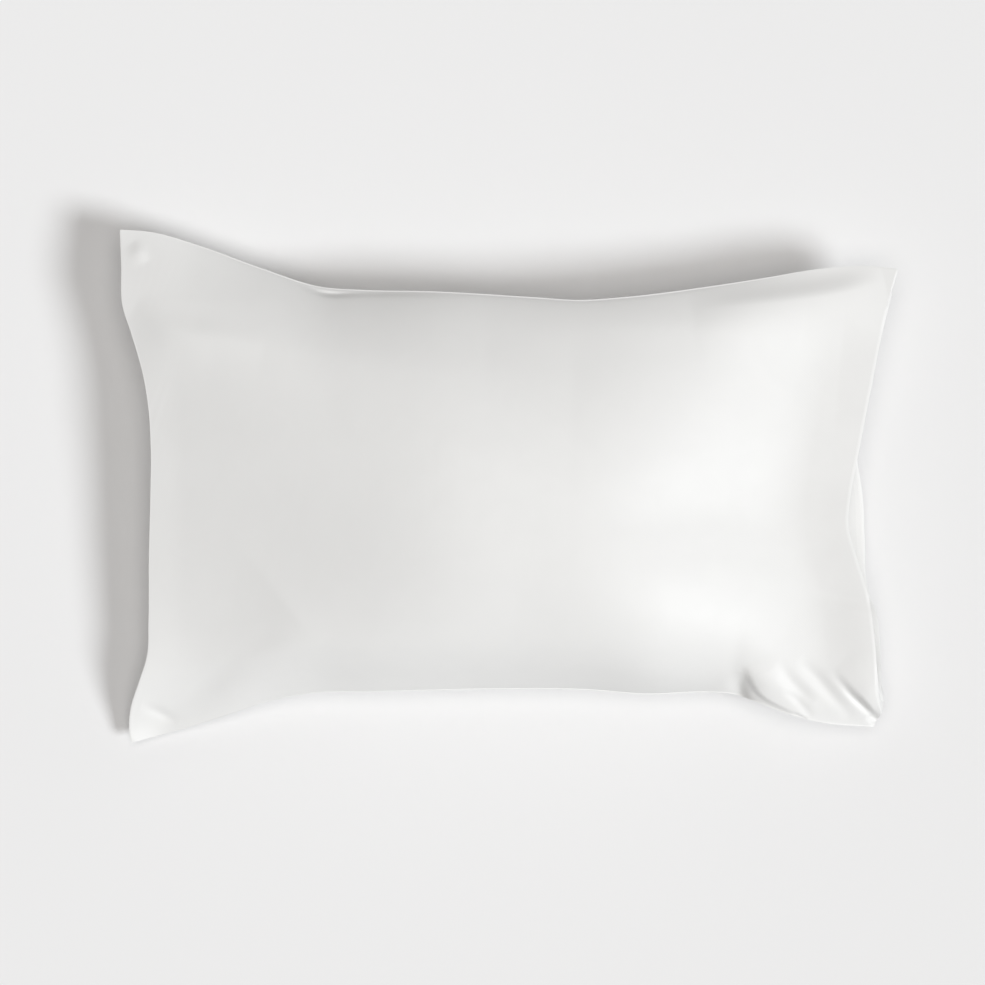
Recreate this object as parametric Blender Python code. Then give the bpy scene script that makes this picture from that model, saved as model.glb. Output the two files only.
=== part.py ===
"""A pillowcase with its pillow in it, lying on its back.

filled_case  the front and back cloths around the pillow, sewn together along the near side, the
             closed end and the far side: one filled solid, flat underneath where it rests. Its
             fourth side is the mouth, where the front and back hems stand apart in front of the
             pillow's end.
tuck_flap    the cloth sewn inside the back hem, which tucks in over the pillow's end

Metres, +Z up. +X points out of the mouth and +Y to the far side. The origin is the centre of the
whole outline, on the surface that the case lies on. The tables are in millimetres.
"""

from collections import namedtuple

import bpy
import numpy as np

MM = 0.001

# Driving sizes. The case is cut 762 x 508, and filling it draws its sides in.
CLOTH = 1.5  # one layer, thicker than bare satin so that it stays a solid
GAP = 0.8  # between the flap and the cloth that it lies on
TOP = 132.0  # the height of the fill's crown, to which the cloth adds its own
SINK = 20.0  # how far the fill would push the back below the floor, if the floor didn't stop it
FLOOR_ROLL = 9.0  # the height over which the back rolls up from the floor
SIDE_BULGE = 9.0  # how far the fill pushes the back outwards below the side seams
SEAM_EDGE = 1.0  # how far the seam's edge stands out from the cloth on both sides of it

# The fill, seen from above. Shares are of the length from the closed end to the mouth, or of the way
# from the crest to the closed end.
CREST = 0.57  # where it is highest on the middle line
NEAR_SHIFT = 0.05  # how much nearer to the mouth that is at the near side
FAR_SHIFT = 0.11  # and at the far side
CREST_FLAT = 0.25  # where the straight slope to the closed end starts
CREST_ROUND = 0.07  # how widely that start is rounded
FILL_END = 0.94  # where the front cloth leaves the pillow at the mouth
MOUTH_FLATNESS = 2.4  # each flatness is how level the fill stays before it falls off
MOUTH_SLOPE = 2.0  # each slope is how softly it meets the cloth: under 1 is steep and round
NEAR_FLATNESS = 5.0
NEAR_SLOPE = 0.8
FAR_FLATNESS = 2.0
FAR_SLOPE = 0.8
LIP_FADE = 4.0  # how quickly the rises and dips of the side seams fade inwards

# The mesh: cells along and across each cloth, and how much they crowd towards the edges.
CELLS_ALONG = 44
CELLS_ACROSS = 32
CROWDING = 0.5

# The mouth, in cells of that mesh.
MOUTH_DEPTH = 7  # from the hems to where the front cloth meets the pillow
MOUTH_FOOT = 4  # from the hems to where the back cloth meets the pillow
MOUTH_START = 4  # closed at each side of the mouth
MOUTH_RUN = 4  # from there to where the hems stand fully apart
FLAP_MARGIN = 3  # that the flap stays away from the sides of the mouth
END_BULGE = 0.3  # how far the pillow's end rounds out, as a share of its height there
FLAP_SETBACK = 4.0  # from the back hem to the flap's own edge

Corner = namedtuple("Corner", "x y height")
NEAR_CLOSED = Corner(-348, -240, 26)
FAR_CLOSED = Corner(-360, 240, 56)
NEAR_MOUTH = Corner(343, -225, 44)
FAR_MOUTH = Corner(361, 200, 72)

# An edge, from its first corner to its second. share is how far along it a row lies, inset how far the
# edge is drawn in there from the straight line between its corners, and height how high it lies.
Row = namedtuple("Row", "share inset height")
NEAR_SEAM = [
    Row(0.00, 0, 26),
    Row(0.03, 3, 23),
    Row(0.08, 12, 25),
    Row(0.13, 23, 33),
    Row(0.18, 34, 42),
    Row(0.24, 43, 50),
    Row(0.33, 48, 54),
    Row(0.50, 51, 54),
    Row(0.62, 48, 51),
    Row(0.69, 43, 49),
    Row(0.79, 39, 47),
    Row(0.84, 29, 45),
    Row(0.88, 16, 44),
    Row(0.93, 6, 44),
    Row(1.00, 0, 42),
]
FAR_SEAM = [
    Row(0.00, 0, 56),
    Row(0.04, 1, 59),
    Row(0.10, 11, 60),
    Row(0.18, 30, 57),
    Row(0.26, 46, 59),
    Row(0.31, 47, 63),
    Row(0.40, 45, 73),
    Row(0.54, 45, 82),
    Row(0.59, 46, 84),
    Row(0.65, 41, 82),
    Row(0.75, 26, 75),
    Row(0.83, 14, 71),
    Row(0.90, 3, 71),
    Row(0.96, -2, 71),
    Row(1.00, 0, 72),
]
CLOSED_SEAM = [
    Row(0.00, 0, 26),
    Row(0.02, -3, 29),
    Row(0.07, -1, 40),
    Row(0.12, 6, 50),
    Row(0.17, 14, 55),
    Row(0.24, 19, 58),
    Row(0.36, 21, 60),
    Row(0.48, 24, 63),
    Row(0.58, 26, 66),
    Row(0.66, 23, 68),
    Row(0.71, 18, 70),
    Row(0.80, 6, 70),
    Row(0.85, -1, 69),
    Row(0.93, 0, 66),
    Row(1.00, 0, 56),
]
FRONT_HEM = [
    Row(0.00, 0, 44),
    Row(0.03, -5, 52),
    Row(0.06, 0, 57),
    Row(0.12, 4, 62),
    Row(0.19, 8, 66),
    Row(0.29, 16, 69),
    Row(0.37, 28, 71),
    Row(0.44, 37, 72),
    Row(0.51, 36, 72),
    Row(0.59, 31, 72),
    Row(0.76, 20, 72),
    Row(0.85, 14, 72),
    Row(1.00, 0, 72),
]
BACK_HEM = [
    Row(0.00, 0, 44),
    Row(0.03, -7, 41),
    Row(0.11, -3, 31),
    Row(0.17, -2, 25),
    Row(0.25, 4, 21),
    Row(0.30, 12, 19),
    Row(0.41, 18, 19),
    Row(0.51, 23, 22),
    Row(0.59, 31, 27),
    Row(0.76, 22, 38),
    Row(0.88, 12, 46),
    Row(1.00, 0, 72),
]

# The main folds, which both cloths share where they meet. A fold is a ridge, or a trough where rise is
# below zero, along a path. left and right are how far it reaches on each side of the path, seen along it.
Point = namedtuple("Point", "x y rise")
Fold = namedtuple("Fold", "left right path")
FOLDS = [
    # the mouth's near corner: the hem's panel ends in a ridge, with a crease beside it
    Fold(9, 32, [Point(352, -219, 2), Point(334, -199, 6), Point(319, -184, 6), Point(303, -165, 3), Point(280, -140, 0)]),
    Fold(8, 8, [Point(345, -220, -3), Point(327, -204, -6), Point(311, -188, -4), Point(296, -172, 0)]),
    # the pinch in the near side, where the loose corner folds over the pillow's edge
    Fold(24, 9, [Point(224, -166, 0), Point(232, -184, 5), Point(266, -210, 3)]),
    Fold(9, 10, [Point(219, -168, 0), Point(216, -184, -7), Point(222, -198, -10), Point(250, -216, -3)]),
    # the pucker at the far seam
    Fold(9, 10, [Point(-192, 184, -3), Point(-170, 181, -5), Point(-130, 180, 0)]),
    # the pillow's corner inside the far closed corner, with the hollow beside it
    Fold(130, 50, [Point(-236, 196, 9), Point(-242, 165, 11), Point(-252, 130, 8), Point(-264, 95, 0)]),
    Fold(30, 12, [Point(-350, 176, -3), Point(-305, 145, -6), Point(-240, 115, -2), Point(-190, 95, 0)]),
    # the rounded edge along the far side's loose end
    Fold(15, 40, [Point(180, 163, 0), Point(235, 168, 6), Point(280, 173, 6), Point(358, 188, 2)]),
]


def smooth_curve(knots, values, at):
    """A cubic through the knots, each span with the slopes that its neighbours give."""
    slopes = np.gradient(values, knots)
    span = np.clip(np.searchsorted(knots, at, side="right") - 1, 0, len(knots) - 2)
    width = knots[span + 1] - knots[span]
    t = (at - knots[span]) / width
    rise = (3 - 2 * t) * t * t
    start = t * (1 - t) ** 2 * width * slopes[span]
    end = t * t * (1 - t) * width * slopes[span + 1]
    return (1 - rise) * values[span] + rise * values[span + 1] + start - end


def edge(first, second, inward, rows, share):
    """The points of a seam or hem: the straight line between its corners, drawn in by the rows."""
    knots, insets, heights = np.array(rows, float).T
    inset = smooth_curve(knots, insets, share)
    x = first.x + (second.x - first.x) * share + inward[0] * inset
    y = first.y + (second.y - first.y) * share + inward[1] * inset
    return np.stack([x, y, smooth_curve(knots, heights, share)], axis=-1)


def crowded(cells):
    """Grid lines from 0 to 1, closer together towards both ends."""
    t = np.linspace(0, 1, cells + 1)
    return t - CROWDING * np.sin(2 * np.pi * t) / (2 * np.pi)


def smooth_step(t):
    """0 below 0 and 1 above 1, with an S between them."""
    t = np.clip(t, 0, 1)
    return t * t * (3 - 2 * t)


def spanned(near, far, closed, mouth, u, v):
    """The surface between four edges.

    It is the ruled surface between the closed end and the mouth, plus how far the two sides are from
    straight lines. That fades evenly to the other side in plan, and more quickly in height.
    """
    u, v = u[:, None, None], v[None, :, None]
    ruled = (1 - u) * closed[None] + u * mouth[None]
    near_offset = near[:, None] - (1 - u) * near[0] - u * near[-1]
    far_offset = far[:, None] - (1 - u) * far[0] - u * far[-1]
    fade = np.array([1, 1, LIP_FADE])
    return ruled + (1 - v) ** fade * near_offset + v**fade * far_offset


def fill(u, v):
    """How much of the fill's height a point has: 1 on the crest and 0 on the seams.

    It is a profile from end to end times one from side to side. Towards the closed end it is a straight
    slope with a rounded crest; towards the mouth and the sides it is (1 - distance ** flatness) to the
    power of a slope, which rounds down to the side seams and runs out level at the mouth.
    """
    crest = (CREST + np.where(v < 0.5, NEAR_SHIFT, FAR_SHIFT) * (2 * v - 1) ** 2)[None, :]
    back = np.clip((crest - u[:, None]) / crest, 0, 1)
    ahead = np.clip((u[:, None] - crest) / (FILL_END - crest), 0, 1)
    fall, level, foot = (CREST_ROUND * np.logaddexp(0, (t - CREST_FLAT) / CREST_ROUND) for t in (back, 0, 1))
    lengthwise = 1 - (fall - level) / (foot - level)
    lengthwise = lengthwise * (1 - ahead**MOUTH_FLATNESS) ** MOUTH_SLOPE
    aside = np.abs(2 * v - 1)
    sideways_near = (1 - aside**NEAR_FLATNESS) ** NEAR_SLOPE
    sideways_far = (1 - aside**FAR_FLATNESS) ** FAR_SLOPE
    return lengthwise * np.where(v < 0.5, sideways_near, sideways_far)[None, :]


def fold_height(points, fold):
    """The height that a fold adds: its rise, times a bell of the distance to its path.

    The path is a smooth curve through its points, cut into short straight steps, and each point of the
    surface takes the step that is nearest to it.
    """
    x, y, rise = np.array(fold.path, float).T
    knots = np.arange(len(x), dtype=float)
    t = np.linspace(0, knots[-1], 8 * len(x))
    x, y, rise = (smooth_curve(knots, values, t) for values in (x, y, rise))
    nearest = np.full(points.shape[:2], np.inf)
    height = np.zeros(points.shape[:2])
    for i in range(len(t) - 1):
        step = np.array([x[i + 1] - x[i], y[i + 1] - y[i]])
        offset = points[..., :2] - (x[i], y[i])
        share = np.clip(offset @ step / (step @ step), 0, 1)
        away = np.linalg.norm(offset - share[..., None] * step, axis=-1)
        on_left = step[0] * offset[..., 1] - step[1] * offset[..., 0] > 0
        reach = np.where(on_left, fold.left, fold.right)
        here = (rise[i] + (rise[i + 1] - rise[i]) * share) * np.exp(-((away / reach) ** 2))
        closer = away < nearest
        nearest = np.where(closer, away, nearest)
        height = np.where(closer, here, height)
    return height


def onto_floor(height):
    """The height, held above the floor: level below it, and rolling up from it in a parabola."""
    rolled = (np.clip(height, -FLOOR_ROLL, FLOOR_ROLL) + FLOOR_ROLL) ** 2 / (4 * FLOOR_ROLL)
    return np.where(height > FLOOR_ROLL, height, rolled)


def normals(points):
    """The normal at each point of a grid, upward for a level one."""
    normal = np.cross(np.gradient(points, axis=0), np.gradient(points, axis=1))
    return normal / np.linalg.norm(normal, axis=-1, keepdims=True)


def outer_surfaces(u, v):
    """The outer faces of the front and back cloths, as grids of points."""
    near = edge(NEAR_CLOSED, NEAR_MOUTH, (0, 1), NEAR_SEAM, u)
    far = edge(FAR_CLOSED, FAR_MOUTH, (0, -1), FAR_SEAM, u)
    closed = edge(NEAR_CLOSED, FAR_CLOSED, (1, 0), CLOSED_SEAM, v)
    front_hem = edge(NEAR_MOUTH, FAR_MOUTH, (-1, 0), FRONT_HEM, v)
    back_hem = edge(NEAR_MOUTH, FAR_MOUTH, (-1, 0), BACK_HEM, v)
    rise = fill(u, v)

    front = spanned(near, far, closed, front_hem, u, v)
    folds = sum(fold_height(front, fold) for fold in FOLDS)
    front[..., 2] += (TOP - front[..., 2]) * rise + folds + CLOTH

    back = spanned(near, far, closed, back_hem, u, v)
    back[..., 1] += SIDE_BULGE * (2 * v - 1) * np.sin(np.pi * np.sqrt(rise))
    back[..., 2] += folds
    fuller = rise * (2 - rise)
    back[..., 2] = onto_floor(back[..., 2] - (back[..., 2] + SINK) * fuller - CLOTH)
    return front, back


def mouth_surfaces(front, back):
    """The mouth's upper and lower faces, from the hems inwards, as grids with the same edges.

    The upper face is the front cloth's underside. The lower one runs along the back cloth to the
    pillow, and up the pillow's end to where it meets the upper one. At the mouth's two sides both
    faces are the middle of the case.
    """
    columns = slice(MOUTH_START, CELLS_ACROSS + 1 - MOUTH_START)
    rows = slice(None, -MOUTH_DEPTH - 2, -1)
    upper = (front - CLOTH * normals(front))[rows, columns]
    under = (back + CLOTH * normals(back))[rows, columns]
    middle = (upper + under) / 2

    hem, along_back, foot = under[0], under[MOUTH_FOOT // 2], under[MOUTH_FOOT]
    inwards = (along_back - hem) / np.linalg.norm(along_back - hem, axis=-1, keepdims=True)
    t = np.linspace(0, 1, MOUTH_DEPTH - 2)[:, None, None]
    wall = (1 - t) * foot + t * upper[-1]
    wall[..., 0] += END_BULGE * (upper[-1] - foot)[:, 2] * np.sin(np.pi * t[..., 0])
    lower = np.concatenate([[hem, hem + FLAP_SETBACK * inwards, along_back], wall])

    across = np.arange(upper.shape[1])
    open_share = smooth_step(np.minimum(across, across[::-1]) / MOUTH_RUN)[None, :, None]
    upper = open_share * upper + (1 - open_share) * middle
    lower = open_share * lower + (1 - open_share) * middle
    upper[-1] = lower[-1]
    return upper, lower


class Shell:
    """A closed surface that is put together from grids, which share the points on their edges."""

    def __init__(self):
        self.points = []
        self.triangles = []

    def add(self, grid):
        """Puts a grid's points in, and returns their numbers in the same layout."""
        first = sum(len(block) for block in self.points)
        flat = grid.reshape(-1, 3)
        self.points.append(flat)
        return np.arange(first, first + len(flat)).reshape(grid.shape[:-1])

    def face(self, numbers, flipped=False, slant=0):
        """Two triangles for each cell of a grid of point numbers, with a slant of 0 or 1."""
        corners = [numbers[:-1, :-1], numbers[1:, :-1], numbers[1:, 1:], numbers[:-1, 1:]]
        a, b, c, d = corners[slant:] + corners[:slant]
        halves = np.concatenate([np.stack([a, b, c], -1), np.stack([a, c, d], -1)]).reshape(-1, 3)
        self.triangles.append(halves[:, ::-1] if flipped else halves)

    def join(self, outer, inner, flipped=False):
        """A closed strip between two rows of point numbers that run side by side."""
        strip = np.stack([outer, inner])
        self.face(np.concatenate([strip, strip[:, :1]], axis=1), flipped)

    def make(self, name, material):
        points, triangles = np.concatenate(self.points), np.concatenate(self.triangles)
        used, triangles = np.unique(triangles, return_inverse=True)
        mesh = bpy.data.meshes.new(name)
        mesh.from_pydata((points[used] * MM).tolist(), [], triangles.reshape(-1, 3).tolist())
        mesh.shade_smooth()
        mesh.materials.append(material)
        made = bpy.data.objects.new(name, mesh)
        bpy.context.scene.collection.objects.link(made)


def rim(grid):
    """A grid's edge as one closed row: the near side, the mouth, the far side and the closed end."""
    return np.concatenate([grid[:, 0], grid[-1, 1:], grid[-2::-1, -1], grid[0, -2:0:-1]])


def make_filled_case(front, back, upper, lower, material):
    shell = Shell()
    front_at, back_at = shell.add(front), shell.add(back)
    shell.face(front_at)
    shell.face(back_at, flipped=True)

    # The seam's edge runs all round between the two cloths, and parts at the mouth.
    front_rim, back_rim = rim(front), rim(back)
    seam = (front_rim + back_rim) / 2
    ahead = np.roll(seam, -1, axis=0) - np.roll(seam, 1, axis=0)
    outward = np.stack([ahead[:, 1], -ahead[:, 0], np.zeros(len(seam))], axis=-1)
    seam += SEAM_EDGE * outward / np.linalg.norm(outward, axis=-1, keepdims=True)
    seam_front = shell.add(seam[:, None])[:, 0]
    seam_back = seam_front.copy()

    first = CELLS_ALONG + MOUTH_START
    mouth = slice(first, first + upper.shape[1])
    upper_at, lower_at = shell.add(upper), shell.add(lower)
    for shared in (np.s_[:, 0], np.s_[:, -1], np.s_[-1, :]):
        lower_at[shared] = upper_at[shared]
    seam_front[mouth], seam_back[mouth] = upper_at[0], lower_at[0]
    shell.face(upper_at)
    shell.face(lower_at, flipped=True, slant=1)
    shell.join(rim(front_at), seam_front)
    shell.join(rim(back_at), seam_back, flipped=True)
    shell.make("filled_case", material)


def make_tuck_flap(lower, material):
    """A sheet on the mouth's lower face, from just inside the back hem up over the pillow's end."""
    up = -normals(lower)
    extent = np.s_[1:-2, FLAP_MARGIN:-FLAP_MARGIN]
    over = (lower + (GAP + CLOTH) * up)[extent]
    under = (lower + GAP * up)[extent]
    shell = Shell()
    over_at, under_at = shell.add(over), shell.add(under)
    shell.face(over_at, flipped=True, slant=1)
    shell.face(under_at, slant=1)
    shell.join(rim(over_at), rim(under_at), flipped=True)
    shell.make("tuck_flap", material)


def satin(name, colour):
    material = bpy.data.materials.new(name)
    material.use_nodes = True
    shader = material.node_tree.nodes["Principled BSDF"]
    shader.inputs["Base Color"].default_value = (*colour, 1)
    shader.inputs["Roughness"].default_value = 0.38
    shader.inputs["Metallic"].default_value = 0
    return material


def main():
    for old in list(bpy.data.objects):
        bpy.data.objects.remove(old)
    front, back = outer_surfaces(crowded(CELLS_ALONG), crowded(CELLS_ACROSS))
    upper, lower = mouth_surfaces(front, back)
    make_filled_case(front, back, upper, lower, satin("case_satin", (0.86, 0.86, 0.85)))
    make_tuck_flap(lower, satin("flap_satin", (0.84, 0.84, 0.83)))


main()
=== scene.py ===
"""A white satin pillowcase on its pillow, seen from straight above on a pale floor.

The CAD nodes are filled_case, the case with its pillow, and tuck_flap, the flap inside its mouth. Both
are replaced here by finer cloth of the same form. Tables are in millimetres, in the frame's axes: +X
points out of the mouth, +Y to the far side and +Z up.
"""

from collections import namedtuple

import bpy
import numpy as np
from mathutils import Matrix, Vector


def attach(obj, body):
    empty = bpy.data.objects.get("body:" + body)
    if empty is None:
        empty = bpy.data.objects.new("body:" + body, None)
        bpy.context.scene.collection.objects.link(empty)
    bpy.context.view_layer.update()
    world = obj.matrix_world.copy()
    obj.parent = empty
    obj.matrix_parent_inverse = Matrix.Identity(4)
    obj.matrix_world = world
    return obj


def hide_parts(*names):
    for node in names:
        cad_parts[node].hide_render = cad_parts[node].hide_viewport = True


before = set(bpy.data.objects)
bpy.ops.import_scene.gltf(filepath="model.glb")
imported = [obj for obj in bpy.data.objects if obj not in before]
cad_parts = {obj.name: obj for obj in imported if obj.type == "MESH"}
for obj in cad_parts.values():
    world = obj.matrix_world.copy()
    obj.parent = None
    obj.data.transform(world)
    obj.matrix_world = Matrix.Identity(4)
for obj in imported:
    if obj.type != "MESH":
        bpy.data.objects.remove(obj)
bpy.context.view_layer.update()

MM = 0.001
PHOTO = 985  # the picture's width and height
MM_PER_PIXEL = 0.93  # at the height of the seams
PHOTO_CENTRE = (-13.5, -6.5)  # what the middle of the picture looks at
SEAM_HEIGHT = 60.0
LENS = 135.0
SENSOR = 36.0
FLOOR_HALF = 8.0  # metres, so that its edge is out of every view

CROWN = 132.0  # the height of the fill's crown
HEM_THICKNESS = 1.2  # the turned hem, two layers of satin
SATIN_THICKNESS = 0.8  # one layer with what it is sewn to
FLAP_GAP = 0.8  # between the flap and the cloth that it lies on
SINK = 20.0  # how far the fill would push the back below the floor, if the floor didn't stop it
FLOOR_ROLL = 9.0  # the height over which the back rolls up from the floor
SIDE_BULGE = 5.0  # how far the fill pushes the back outwards below the side seams
SEAM_EDGE = 1.0  # how far the seam's edge stands out from the cloth on both sides of it
SEAM_LIFT = 0.9  # how near it is to the front cloth's height
HEM_ROLL = 2.2  # how far the rounded edge of the hem stands out

# Shares are of the way from the closed end to the mouth, or from one side to the other.
CREST = 0.57  # where the fill is highest
NEAR_SHIFT = -0.08  # how far that moves towards the mouth at the near side; below zero is away from it
FAR_SHIFT = -0.06  # and at the far side
CREST_FLAT = 0.25  # where the slope to the closed end starts, as a share of the way there
CREST_ROUND = 0.07  # how widely that start is rounded
FILL_END = 0.94  # the pillow's end inside the mouth
MOUTH_FLATNESS = 2.4  # how level the fill stays from the crest towards the mouth, before it falls
MOUTH_SLOPE = 2.0  # and how gently it runs out there
NEAR_FLATNESS = 3.0  # the same towards the near side
NEAR_MOUTH_FLATNESS = 5.0  # and its value at the mouth's end of that side
NEAR_SLOPE = 0.9
FAR_FLATNESS = 2.0  # the same towards the far side
FAR_SLOPE = 0.8
MOUTHWARD_START = 0.5  # where the near side's flatness starts to change to its value by the mouth
MOUTHWARD_RUN = 0.3
NEAR_FADE = 12.0  # how quickly the rises and dips of the near seam fade inwards
FAR_FADE = 4.0  # and those of the far seam

CELLS_ALONG = 250
CELLS_ACROSS = 160
CROWDING = 0.65  # how much closer the cells are at the edges, where 0 is even
SHARP_ANGLE = 0.9
FOLD_STEPS = 8  # short steps for each point of a fold's path
MOUTH_END = 0.91  # where the front cloth meets the pillow inside the mouth
MOUTH_FOOT = 0.955  # where the back cloth does
MOUTH_START = 20  # cells that are sewn shut at each side of the mouth
MOUTH_RUN = 20  # cells over which it opens from there
END_BULGE = 0.3  # how far the pillow's end bulges into the mouth, as a share of its height
FLAP_MARGIN = 12  # cells between the mouth's sides and the flap's
FLAP_END = 0.75  # how far up the pillow's end the flap goes
FLAP_SETBACK = 4.0  # from the back hem to the flap's edge

Corner = namedtuple("Corner", "x y height")
NEAR_CLOSED = Corner(-353, -241, 18)
FAR_CLOSED = Corner(-359, 237, 59)
NEAR_MOUTH = Corner(343, -225, 35)
FAR_MOUTH = Corner(361, 200, 72)

Row = namedtuple("Row", "share inset height")
NEAR_SEAM = [
    Row(0.00, 0, 18),
    Row(0.03, 5, 16),
    Row(0.08, 14, 20),
    Row(0.13, 24.5, 26),
    Row(0.18, 35.5, 33),
    Row(0.24, 43.5, 41),
    Row(0.33, 44, 48),
    Row(0.50, 44, 50),
    Row(0.62, 41, 48),
    Row(0.69, 36, 46),
    Row(0.79, 36, 46),
    Row(0.81, 34.5, 47),
    Row(0.83, 30, 53),
    Row(0.88, 16, 55),
    Row(0.93, 6, 49),
    Row(1.00, 0, 35),
]
FAR_SEAM = [
    Row(0.00, 0, 59),
    Row(0.04, 1, 59),
    Row(0.10, 11, 57),
    Row(0.18, 29, 58),
    Row(0.26, 44, 62),
    Row(0.31, 45, 67),
    Row(0.40, 43.5, 76),
    Row(0.54, 44.5, 82),
    Row(0.59, 45, 84),
    Row(0.65, 40, 82),
    Row(0.75, 27, 75),
    Row(0.83, 15, 71),
    Row(0.90, 4, 71),
    Row(0.96, -1, 71),
    Row(1.00, 0, 72),
]
CLOSED_SEAM = [
    Row(0.00, 0, 18),
    Row(0.02, -1, 21),
    Row(0.07, 2, 36),
    Row(0.12, 11, 52),
    Row(0.17, 19.5, 59),
    Row(0.24, 22, 62),
    Row(0.36, 23.5, 64),
    Row(0.48, 26, 66),
    Row(0.58, 27.5, 68),
    Row(0.66, 25.5, 66),
    Row(0.71, 22, 65),
    Row(0.80, 10.5, 63),
    Row(0.85, 3, 62),
    Row(0.93, 1.5, 62),
    Row(1.00, 0, 59),
]
FRONT_HEM = [
    Row(0.00, 0, 35),
    Row(0.03, -5, 45),
    Row(0.06, 0, 53),
    Row(0.12, 4, 62),
    Row(0.19, 8, 66),
    Row(0.29, 16, 69),
    Row(0.37, 28, 71),
    Row(0.44, 37, 72),
    Row(0.51, 36, 72),
    Row(0.59, 31, 72),
    Row(0.76, 20, 72),
    Row(0.85, 14, 72),
    Row(1.00, 0, 72),
]
BACK_HEM = [
    Row(0.00, 0, 35),
    Row(0.03, -7, 33),
    Row(0.11, -3, 31),
    Row(0.17, -2, 25),
    Row(0.25, 3, 21),
    Row(0.30, 11, 19),
    Row(0.41, 16, 19),
    Row(0.51, 20, 22),
    Row(0.59, 27, 27),
    Row(0.64, 30, 30),
    Row(0.76, 23, 38),
    Row(0.88, 12, 46),
    Row(1.00, 0, 72),
]

# A fold is a ridge, or a trough where rise is below zero, along a path. left and right are how far it
# reaches on each side of the path, so a small one is a steep side. The back cloth follows the folds too,
# where it is off the floor.
Point = namedtuple("Point", "x y rise")
Fold = namedtuple("Fold", "left right path")
FOLDS = [
    # the mouth's near corner: the hem's panel ends in a ridge, with a crease and softer folds beside it
    Fold(4, 20, [
        Point(352, -219, 2), Point(336, -201, 5), Point(322, -187, 2.5), Point(306, -168, 0),
    ]),
    Fold(3, 3, [
        Point(345, -218, -2.5), Point(333, -207, -3.2), Point(321, -196, -2.5),
        Point(311, -185, -1), Point(300, -173, 0),
    ]),
    Fold(6, 6, [
        Point(318, -212, -1), Point(300, -192, -2), Point(286, -177, -2), Point(270, -162, 0),
    ]),
    Fold(6, 6, [
        Point(286, -202, 0), Point(275, -193, -2), Point(263, -181, -2), Point(250, -163, 0),
    ]),
    Fold(4, 4, [
        Point(281, -212, -1), Point(269, -199, -1.5), Point(256, -189, 0),
    ]),
    # that corner's tip bends down
    Fold(6, 4, [
        Point(336, -214, 0), Point(345, -219, -7), Point(352, -223, -10),
    ]),
    # the pinch in the near side, where the loose corner folds over the pillow's edge
    Fold(24, 2.5, [
        Point(222, -166, 0), Point(227, -180, 4), Point(238, -195, 5), Point(266, -210, 2),
    ]),
    Fold(4, 8, [
        Point(219, -174, 0), Point(217, -183, -3), Point(219, -193, -5), Point(226, -203, -5),
        Point(250, -216, -1),
    ]),
    # the pucker at the far seam
    Fold(2.5, 3, [
        Point(-200, 191, 0), Point(-184, 184, -1.5), Point(-167, 178, -3), Point(-140, 178, -1.5),
        Point(-100, 178, -1), Point(-30, 176, 0),
    ]),
    # soft hollows in the slope to the closed end
    Fold(90, 40, [
        Point(-300, 170, 0), Point(-300, 110, -3), Point(-298, 0, -3.5), Point(-300, -100, -3),
        Point(-305, -160, 0),
    ]),
    Fold(110, 75, [
        Point(-195, 40, 0), Point(-195, -25, -2), Point(-200, -80, -2.5), Point(-210, -140, 0),
    ]),
    # the pillow's corner inside the far closed corner, and the narrow ridge along it
    Fold(55, 150, [
        Point(-420, 170, 9), Point(-345, 160, 10), Point(-295, 142, 14), Point(-240, 128, 15),
        Point(-160, 112, 11), Point(-60, 100, 6), Point(60, 95, 0),
    ]),
    Fold(14, 25, [
        Point(-345, 164, 0), Point(-319, 146, 2.5), Point(-295, 137, 3), Point(-268, 134, 2),
        Point(-225, 126, 0),
    ]),
    # the small bulge in the loose cloth of that corner
    Fold(6, 9, [
        Point(-348, 226, 0), Point(-341, 217, 1.5), Point(-336, 206, 0),
    ]),
    # the valley from the near closed corner to the pillow, and the small crease in that corner
    Fold(60, 26, [
        Point(-350, -240, 0), Point(-318, -208, -7), Point(-284, -180, -10), Point(-245, -150, -6),
        Point(-200, -115, 0),
    ]),
    Fold(5, 5, [
        Point(-343, -206, 0), Point(-327, -213, -2), Point(-309, -222, 0),
    ]),
    # the full part of the pillow near the mouth's far corner
    Fold(35, 90, [
        Point(-20, 135, 0), Point(60, 140, 3), Point(130, 142, 6), Point(190, 140, 7),
        Point(250, 135, 4), Point(310, 130, 0),
    ]),
    # the rounded edge along the far side's loose end
    Fold(15, 40, [
        Point(170, 161, 0), Point(225, 166, 7), Point(270, 171, 8), Point(312, 178, 7),
        Point(350, 188, 0),
    ]),
    # the hem's panel rises to its edge, with a soft crease in it
    Fold(35, 20, [
        Point(352, -215, 0), Point(347, -185, 6), Point(343, -150, 7), Point(338, -105, 5),
        Point(328, -50, 3), Point(320, 10, 0),
    ]),
    Fold(6, 5, [
        Point(283, -100, 0), Point(305, -104, -1), Point(326, -108, -1.2), Point(340, -112, -1),
    ]),
]


def smooth_curve(knots, values, at):
    """A cubic through the knots, each span with the slopes that its neighbours give."""
    slopes = np.gradient(values, knots)
    span = np.clip(np.searchsorted(knots, at, side="right") - 1, 0, len(knots) - 2)
    width = knots[span + 1] - knots[span]
    t = (at - knots[span]) / width
    rise = (3 - 2 * t) * t * t
    start = t * (1 - t) ** 2 * width * slopes[span]
    end = t * t * (1 - t) * width * slopes[span + 1]
    return (1 - rise) * values[span] + rise * values[span + 1] + start - end


def smooth_step(t):
    """0 below 0 and 1 above 1, with an S between them."""
    t = np.clip(t, 0, 1)
    return t * t * (3 - 2 * t)


def crowded(cells):
    """Grid lines from 0 to 1, closer together towards both ends."""
    t = np.linspace(0, 1, cells + 1)
    return t - CROWDING * np.sin(2 * np.pi * t) / (2 * np.pi)


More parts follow.
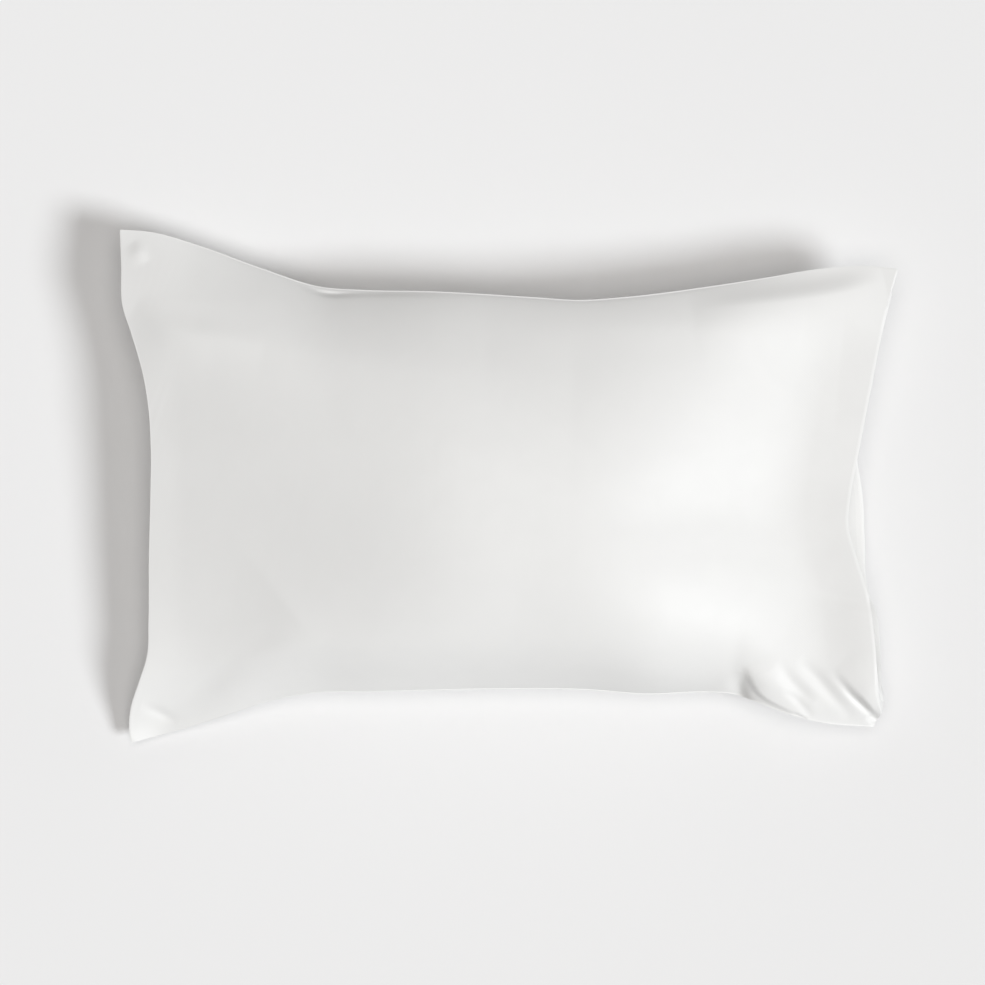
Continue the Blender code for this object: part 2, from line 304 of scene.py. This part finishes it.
def edge(first, second, inward, rows, share):
    """A seam or hem: the straight line between its corners, drawn in by the rows' insets."""
    knots, insets, heights = np.array(rows, float).T
    inset = smooth_curve(knots, insets, share)
    x = first.x + (second.x - first.x) * share + inward[0] * inset
    y = first.y + (second.y - first.y) * share + inward[1] * inset
    return np.stack([x, y, smooth_curve(knots, heights, share)], axis=-1)


def spanned(near, far, closed, mouth, u, v):
    """The surface between four edges.

    It is the ruled surface between the closed end and the mouth, plus how far the two sides are from
    straight lines. That fades evenly to the other side in plan, and more quickly in height.
    """
    u, v = u[:, None, None], v[None, :, None]
    ruled = (1 - u) * closed[None] + u * mouth[None]
    near_offset = near[:, None] - (1 - u) * near[0] - u * near[-1]
    far_offset = far[:, None] - (1 - u) * far[0] - u * far[-1]
    return ruled + (1 - v) ** [1, 1, NEAR_FADE] * near_offset + v ** [1, 1, FAR_FADE] * far_offset


def fill(u, v):
    """How much of the fill's height a point has: 1 on the crest and 0 on the seams.

    It is a profile from end to end times one from side to side. Towards the closed end it is a straight
    slope with a rounded crest; towards the mouth and the sides it is (1 - distance ** flatness) to the
    power of a slope, which rounds down to the side seams and runs out level at the mouth.
    """
    crest = (CREST + np.where(v < 0.5, NEAR_SHIFT, FAR_SHIFT) * (2 * v - 1) ** 2)[None, :]
    back = np.clip((crest - u[:, None]) / crest, 0, 1)
    ahead = np.clip((u[:, None] - crest) / (FILL_END - crest), 0, 1)
    fall, level, foot = (CREST_ROUND * np.logaddexp(0, (t - CREST_FLAT) / CREST_ROUND) for t in (back, 0, 1))
    lengthwise = 1 - (fall - level) / (foot - level)
    lengthwise = lengthwise * (1 - ahead**MOUTH_FLATNESS) ** MOUTH_SLOPE
    aside = np.abs(2 * v - 1)
    mouthward = smooth_step((u[:, None] - MOUTHWARD_START) / MOUTHWARD_RUN)
    near_flatness = NEAR_FLATNESS + (NEAR_MOUTH_FLATNESS - NEAR_FLATNESS) * mouthward
    sideways_near = (1 - aside[None, :] ** near_flatness) ** NEAR_SLOPE
    sideways_far = (1 - aside[None, :] ** FAR_FLATNESS) ** FAR_SLOPE
    return lengthwise * np.where(v[None, :] < 0.5, sideways_near, sideways_far)


def fold_height(points, fold):
    """The height that a fold adds: its rise, times a bell of the distance to its path.

    The path is a smooth curve through its points, cut into short straight steps, and each point of the
    surface takes the step that is nearest to it.
    """
    x, y, rise = np.array(fold.path, float).T
    knots = np.arange(len(x), dtype=float)
    t = np.linspace(0, knots[-1], FOLD_STEPS * len(x))
    x, y, rise = (smooth_curve(knots, values, t) for values in (x, y, rise))
    nearest = np.full(points.shape[:2], np.inf)
    height = np.zeros(points.shape[:2])
    for i in range(len(t) - 1):
        step = np.array([x[i + 1] - x[i], y[i + 1] - y[i]])
        offset = points[..., :2] - (x[i], y[i])
        share = np.clip(offset @ step / (step @ step), 0, 1)
        away = np.linalg.norm(offset - share[..., None] * step, axis=-1)
        on_left = step[0] * offset[..., 1] - step[1] * offset[..., 0] > 0
        reach = np.where(on_left, fold.left, fold.right)
        here = (rise[i] + (rise[i + 1] - rise[i]) * share) * np.exp(-((away / reach) ** 2))
        closer = away < nearest
        nearest = np.where(closer, away, nearest)
        height = np.where(closer, here, height)
    return height


def onto_floor(height):
    """The height, held above the floor: level below it, and rolling up from it in a parabola."""
    rolled = (np.clip(height, -FLOOR_ROLL, FLOOR_ROLL) + FLOOR_ROLL) ** 2 / (4 * FLOOR_ROLL)
    return np.where(height > FLOOR_ROLL, height, rolled)


def normals(points):
    """The normal at each point of a grid, upward for a level one."""
    normal = np.cross(np.gradient(points, axis=0), np.gradient(points, axis=1))
    return normal / np.linalg.norm(normal, axis=-1, keepdims=True)


def cloth_surfaces(u, v):
    """The outer faces of the front and back cloths, as grids of points."""
    near = edge(NEAR_CLOSED, NEAR_MOUTH, (0, 1), NEAR_SEAM, u)
    far = edge(FAR_CLOSED, FAR_MOUTH, (0, -1), FAR_SEAM, u)
    closed = edge(NEAR_CLOSED, FAR_CLOSED, (1, 0), CLOSED_SEAM, v)
    front_hem = edge(NEAR_MOUTH, FAR_MOUTH, (-1, 0), FRONT_HEM, v)
    back_hem = edge(NEAR_MOUTH, FAR_MOUTH, (-1, 0), BACK_HEM, v)
    rise = fill(u, v)

    front = spanned(near, far, closed, front_hem, u, v)
    folds = sum(fold_height(front, fold) for fold in FOLDS)
    front[..., 2] += (CROWN - front[..., 2]) * rise + folds + SATIN_THICKNESS

    back = spanned(near, far, closed, back_hem, u, v)
    back[..., 1] += SIDE_BULGE * (2 * v - 1) * np.sin(np.pi * np.sqrt(rise))
    back[..., 2] += folds
    fuller = rise * (2 - rise)
    back[..., 2] = onto_floor(back[..., 2] - (back[..., 2] + SINK) * fuller - SATIN_THICKNESS)
    return front, back


def mouth_surfaces(front, back, u):
    """The mouth's upper and lower faces, from the hems inwards, as grids with the same edges.

    The upper face is the front cloth's underside. The lower one runs along the back cloth to the
    pillow, and up the pillow's end to where it meets the upper one.
    """
    columns = slice(MOUTH_START, CELLS_ACROSS + 1 - MOUTH_START)
    deepest = int(np.searchsorted(u, MOUTH_END))
    foot_row = int(np.searchsorted(u, MOUTH_FOOT))
    rows = slice(None, deepest - 1, -1)
    upper = (front - HEM_THICKNESS * normals(front))[rows, columns]
    under = (back + HEM_THICKNESS * normals(back))[:, columns]

    along_back = under[-1:foot_row:-2]
    t = np.linspace(0, 1, len(upper) - len(along_back))[:, None, None]
    foot = under[foot_row]
    wall = (1 - t) * foot + t * upper[-1]
    wall[..., 0] += END_BULGE * (upper[-1] - foot)[:, 2] * np.sin(np.pi * t[..., 0])
    lower = np.concatenate([along_back, wall])

    middle = (upper + lower) / 2
    across = np.arange(upper.shape[1])
    open_share = smooth_step(np.minimum(across, across[::-1]) / MOUTH_RUN)[None, :, None]
    upper = open_share * upper + (1 - open_share) * middle
    lower = open_share * lower + (1 - open_share) * middle
    upper[-1] = lower[-1]
    return upper, lower, len(along_back)


class Shell:
    """A closed surface that is put together from grids, which share the points on their edges."""

    def __init__(self):
        self.points = []
        self.faces = []

    def add(self, grid):
        """Puts a grid's points in, and returns their numbers in the same layout."""
        first = sum(len(block) for block in self.points)
        flat = grid.reshape(-1, 3)
        self.points.append(flat)
        return np.arange(first, first + len(flat)).reshape(grid.shape[:-1])

    def face(self, numbers, flipped=False):
        """A four-sided face for each cell of a grid of point numbers."""
        corners = [numbers[:-1, :-1], numbers[1:, :-1], numbers[1:, 1:], numbers[:-1, 1:]]
        quads = np.stack(corners, -1).reshape(-1, 4)
        self.faces.append(quads[:, ::-1] if flipped else quads)

    def join(self, outer, inner, flipped=False):
        """A closed strip between two rows of point numbers that run side by side."""
        strip = np.stack([outer, inner])
        self.face(np.concatenate([strip, strip[:, :1]], axis=1), flipped)

    def make(self, name, material):
        points, faces = np.concatenate(self.points), np.concatenate(self.faces)
        used, faces = np.unique(faces, return_inverse=True)
        mesh = bpy.data.meshes.new(name)
        mesh.from_pydata((points[used] * MM).tolist(), [], faces.reshape(-1, 4).tolist())
        mesh.shade_smooth()
        mesh.set_sharp_from_angle(angle=SHARP_ANGLE)
        mesh.materials.append(material)
        made = bpy.data.objects.new(name, mesh)
        bpy.context.scene.collection.objects.link(made)
        return made


def rim(grid):
    """A grid's edge as one closed row: the near side, the mouth, the far side and the closed end."""
    return np.concatenate([grid[:, 0], grid[-1, 1:], grid[-2::-1, -1], grid[0, -2:0:-1]])


def make_case(front, back, upper, lower, material):
    """The front and back cloths with the mouth's two faces between their hems, as one closed piece."""
    shell = Shell()
    front_at, back_at = shell.add(front), shell.add(back)
    shell.face(front_at)
    shell.face(back_at, flipped=True)

    front_rim, back_rim = rim(front), rim(back)
    seam = front_rim * SEAM_LIFT + back_rim * (1 - SEAM_LIFT)
    ahead = np.roll(seam, -1, axis=0) - np.roll(seam, 1, axis=0)
    outward = np.stack([ahead[:, 1], -ahead[:, 0], np.zeros(len(seam))], axis=-1)
    outward /= np.linalg.norm(outward, axis=-1, keepdims=True)
    seam += SEAM_EDGE * outward
    seam_front = shell.add(seam[:, None])[:, 0]
    seam_back = seam_front.copy()

    first = CELLS_ALONG + MOUTH_START
    mouth = slice(first, first + upper.shape[1])
    upper_at, lower_at = shell.add(upper), shell.add(lower)
    for shared in (np.s_[:, 0], np.s_[:, -1], np.s_[-1, :]):
        lower_at[shared] = upper_at[shared]
    seam_front[mouth], seam_back[mouth] = upper_at[0], lower_at[0]
    shell.face(upper_at)
    shell.face(lower_at, flipped=True)
    rolled = (front_rim + seam) / 2
    rolled[mouth] = (front_rim[mouth] + upper[0]) / 2
    rolled[mouth] += HEM_ROLL * outward[mouth]
    roll_at = shell.add(rolled[:, None])[:, 0]
    shell.join(rim(front_at), roll_at)
    shell.join(roll_at, seam_front)

    rolled = (back_rim + seam) / 2 - SEAM_EDGE / 2 * outward
    rolled[mouth] = (back_rim[mouth] + lower[0]) / 2 + HEM_ROLL * outward[mouth]
    roll_at = shell.add(rolled[:, None])[:, 0]
    shell.join(rim(back_at), roll_at, flipped=True)
    shell.join(roll_at, seam_back, flipped=True)
    return shell.make("satin_case", material)


def make_flap(lower, foot, material):
    """A sheet on the mouth's lower face, from just inside the back hem up over the pillow's end."""
    up = -normals(lower)
    depth = np.linalg.norm(lower - lower[0], axis=-1).mean(axis=1)
    first = int(np.searchsorted(depth, FLAP_SETBACK))
    last = foot + int(FLAP_END * (len(lower) - foot))
    extent = np.s_[first:last, FLAP_MARGIN:-FLAP_MARGIN]
    under = (lower + FLAP_GAP * up)[extent]
    over = (lower + (FLAP_GAP + SATIN_THICKNESS) * up)[extent]
    shell = Shell()
    over_at, under_at = shell.add(over), shell.add(under)
    shell.face(over_at, flipped=True)
    shell.face(under_at)
    shell.join(rim(over_at), rim(under_at), flipped=True)
    made = shell.make("tuck_flap_cloth", material)
    width = np.linalg.norm(np.diff(over, axis=1), axis=-1).sum(axis=1).mean() * MM
    length = np.linalg.norm(np.diff(over, axis=0), axis=-1).sum(axis=0).mean() * MM
    return made, (length, width)


class Value:
    """A socket of a material. Arithmetic on it adds the Math nodes that work it out."""

    def __init__(self, tree, socket):
        self.tree = tree
        self.socket = socket

    def math(self, operation, first, second):
        return add_node(self.tree, "ShaderNodeMath", {"operation": operation}, {0: first, 1: second})

    def __add__(self, other):
        return self.math("ADD", self, other)

    def __mul__(self, other):
        return self.math("MULTIPLY", self, other)


def add_node(tree, kind, settings=None, inputs=None, output=0):
    """Adds a node, sets its settings, then sets or links its sockets, and returns one output."""
    made = tree.nodes.new(kind)
    for name, value in (settings or {}).items():
        setattr(made, name, value)
    for name, value in (inputs or {}).items():
        if isinstance(value, Value):
            tree.links.new(value.socket, made.inputs[name])
        else:
            made.inputs[name].default_value = value
    return Value(tree, made.outputs[output])


def satin(name, colour, shade):
    """White satin: a broad gloss on a fine weave of long floats, with faint crumples.

    The bump is the weave's fine ribs and a soft noise for the crumples. The roughness and the colour
    follow the same noise.
    """
    material = bpy.data.materials.new(name)
    material.use_nodes = True
    tree = material.node_tree
    shader = tree.nodes["Principled BSDF"]
    shader.inputs["Metallic"].default_value = 0
    shader.inputs["Specular IOR Level"].default_value = 0.28

    place = add_node(tree, "ShaderNodeTexCoord", output="Object")
    ribs = add_node(
        tree,
        "ShaderNodeTexWave",
        {"wave_type": "BANDS", "bands_direction": "DIAGONAL"},
        {"Vector": place, "Scale": 260.0, "Distortion": 1.5, "Detail": 1.0, "Detail Scale": 2.0},
        output="Fac",
    )
    crumple = add_node(
        tree,
        "ShaderNodeTexNoise",
        None,
        {"Vector": place, "Scale": 38.0, "Detail": 3.0, "Roughness": 0.45, "Distortion": 0.4},
    )
    tone = add_node(
        tree,
        "ShaderNodeMix",
        {"data_type": "RGBA"},
        {"Factor": crumple, "A": (*colour, 1), "B": (*shade, 1)},
        output="Result",
    )
    bump = add_node(
        tree,
        "ShaderNodeBump",
        None,
        {"Strength": 0.12, "Distance": 0.0006, "Height": crumple * 2.0 + ribs * 0.15},
    )
    rough = crumple * 0.08 + ribs * 0.03 + 0.42
    tree.links.new(tone.socket, shader.inputs["Base Color"])
    tree.links.new(rough.socket, shader.inputs["Roughness"])
    tree.links.new(bump.socket, shader.inputs["Normal"])
    return material


def make_floor():
    mesh = bpy.data.meshes.new("floor")
    corners = [(FLOOR_HALF * x, FLOOR_HALF * y, 0) for x, y in ((-1, -1), (1, -1), (1, 1), (-1, 1))]
    mesh.from_pydata(corners, [], [(0, 1, 2, 3)])
    material = bpy.data.materials.new("pale_floor")
    material.use_nodes = True
    shader = material.node_tree.nodes["Principled BSDF"]
    shader.inputs["Base Color"].default_value = (0.80, 0.80, 0.80, 1)
    shader.inputs["Roughness"].default_value = 0.9
    shader.inputs["Specular IOR Level"].default_value = 0.1
    mesh.materials.append(material)
    floor = bpy.data.objects.new("floor", mesh)
    bpy.context.scene.collection.objects.link(floor)


def add_sun(name, towards, angle, strength, colour):
    """A distant light that shines from the given direction; the angle is how wide it looks."""
    light = bpy.data.lights.new(name, "SUN")
    light.angle = angle
    light.energy = strength
    light.color = colour
    made = bpy.data.objects.new(name, light)
    made.rotation_euler = Vector(towards).to_track_quat("Z", "Y").to_euler()
    bpy.context.scene.collection.objects.link(made)


def set_light_and_camera():
    world = bpy.data.worlds.new("studio")
    world.use_nodes = True
    world.node_tree.nodes["Background"].inputs["Color"].default_value = (1, 1, 1, 1)
    world.node_tree.nodes["Background"].inputs["Strength"].default_value = 0.12
    bpy.context.scene.world = world
    bpy.context.scene.view_settings.view_transform = "Standard"
    # the key comes from beyond the mouth and a little from the near side
    add_sun("key", (0.92, -0.42, 0.96), 0.34, 2.19, (0.96, 0.98, 1.0))
    add_sun("overhead", (0, 0, 1), 0.75, 1.46, (1.0, 0.97, 0.945))

    camera = bpy.data.cameras.new("camera")
    camera.lens, camera.sensor_width = LENS, SENSOR
    away = PHOTO * MM_PER_PIXEL * LENS / SENSOR
    made = bpy.data.objects.new("camera", camera)
    made.location = Vector((*PHOTO_CENTRE, SEAM_HEIGHT + away)) * MM
    bpy.context.scene.collection.objects.link(made)
    bpy.context.scene.camera = made


def main():
    set_light_and_camera()
    make_floor()
    u, v = crowded(CELLS_ALONG), crowded(CELLS_ACROSS)
    front, back = cloth_surfaces(u, v)
    upper, lower, foot = mouth_surfaces(front, back, u)

    case_satin = satin("case_satin", (0.78, 0.78, 0.77), (0.76, 0.76, 0.75))
    case = make_case(front, back, upper, lower, case_satin)
    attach(case, "root")
    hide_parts("filled_case")

    flap_satin = satin("flap_satin", (0.76, 0.76, 0.75), (0.74, 0.74, 0.73))
    flap, flat = make_flap(lower, foot, flap_satin)
    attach(flap, "root")
    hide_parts("tuck_flap")


main()
